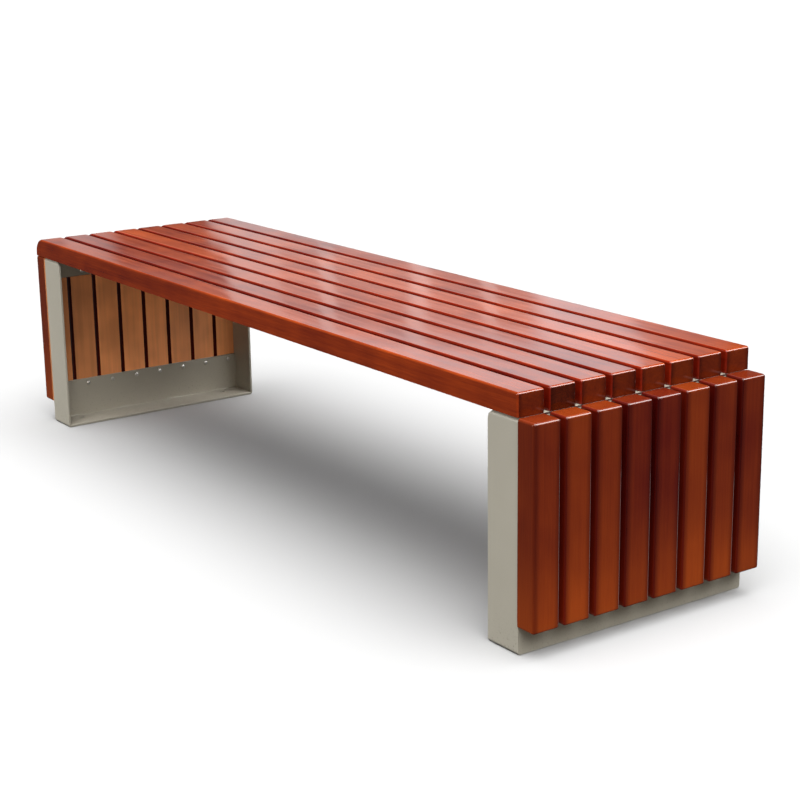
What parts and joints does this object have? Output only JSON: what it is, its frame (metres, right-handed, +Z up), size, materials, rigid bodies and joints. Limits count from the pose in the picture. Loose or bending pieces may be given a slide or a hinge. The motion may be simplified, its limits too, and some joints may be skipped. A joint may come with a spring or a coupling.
{
  "type": "garden bench",
  "caption": "Backless outdoor bench: long varnished timber seat slats on two painted steel end frames clad with upright timber slats.",
  "frame": {"origin": "on the ground, under the centre of the bench's bounding box", "axes": "+X along the bench towards the end where the seat slats are cut square, +Z up, -Y the front"},
  "size_m": [1.908, 0.5224, 0.452],
  "materials": {
    "varnished_timber_seat": "gloss red-brown varnish",
    "varnished_timber_end": "gloss red-brown varnish, thinner on the hidden inner faces",
    "painted_steel": "satin greige powder coat",
    "zinc_screw": "pale zinc plate"
  },
  "bodies": {
    "root": {"left_end_frame": "painted_steel", "right_end_frame": "painted_steel", "seat_strap_left": "painted_steel", "seat_strap_right": "painted_steel", "seat_slat_1": "varnished_timber_seat", "seat_slat_2": "varnished_timber_seat", "seat_slat_3": "varnished_timber_seat", "seat_slat_4": "varnished_timber_seat", "seat_slat_5": "varnished_timber_seat", "seat_slat_6": "varnished_timber_seat", "seat_slat_7": "varnished_timber_seat", "seat_slat_8": "varnished_timber_seat", "left_end_slat_1": "varnished_timber_end", "left_end_slat_2": "varnished_timber_end", "left_end_slat_3": "varnished_timber_end", "left_end_slat_4": "varnished_timber_end", "left_end_slat_5": "varnished_timber_end", "left_end_slat_6": "varnished_timber_end", "left_end_slat_7": "varnished_timber_end", "left_end_slat_8": "varnished_timber_end", "right_end_slat_1": "varnished_timber_end", "right_end_slat_2": "varnished_timber_end", "right_end_slat_3": "varnished_timber_end", "right_end_slat_4": "varnished_timber_end", "right_end_slat_5": "varnished_timber_end", "right_end_slat_6": "varnished_timber_end", "right_end_slat_7": "varnished_timber_end", "right_end_slat_8": "varnished_timber_end", "left_lower_screw_1": "zinc_screw", "left_lower_screw_2": "zinc_screw", "left_lower_screw_3": "zinc_screw", "left_lower_screw_4": "zinc_screw", "left_lower_screw_5": "zinc_screw", "left_lower_screw_6": "zinc_screw", "left_lower_screw_7": "zinc_screw", "left_lower_screw_8": "zinc_screw", "left_upper_screw_1": "zinc_screw", "left_upper_screw_2": "zinc_screw", "left_upper_screw_3": "zinc_screw", "left_upper_screw_4": "zinc_screw", "left_upper_screw_5": "zinc_screw", "left_upper_screw_6": "zinc_screw", "left_upper_screw_7": "zinc_screw", "left_upper_screw_8": "zinc_screw", "right_lower_screw_1": "zinc_screw", "right_lower_screw_2": "zinc_screw", "right_lower_screw_3": "zinc_screw", "right_lower_screw_4": "zinc_screw", "right_lower_screw_5": "zinc_screw", "right_lower_screw_6": "zinc_screw", "right_lower_screw_7": "zinc_screw", "right_lower_screw_8": "zinc_screw", "right_upper_screw_1": "zinc_screw", "right_upper_screw_2": "zinc_screw", "right_upper_screw_3": "zinc_screw", "right_upper_screw_4": "zinc_screw", "right_upper_screw_5": "zinc_screw", "right_upper_screw_6": "zinc_screw", "right_upper_screw_7": "zinc_screw", "right_upper_screw_8": "zinc_screw"}
  },
  "joints": []
}
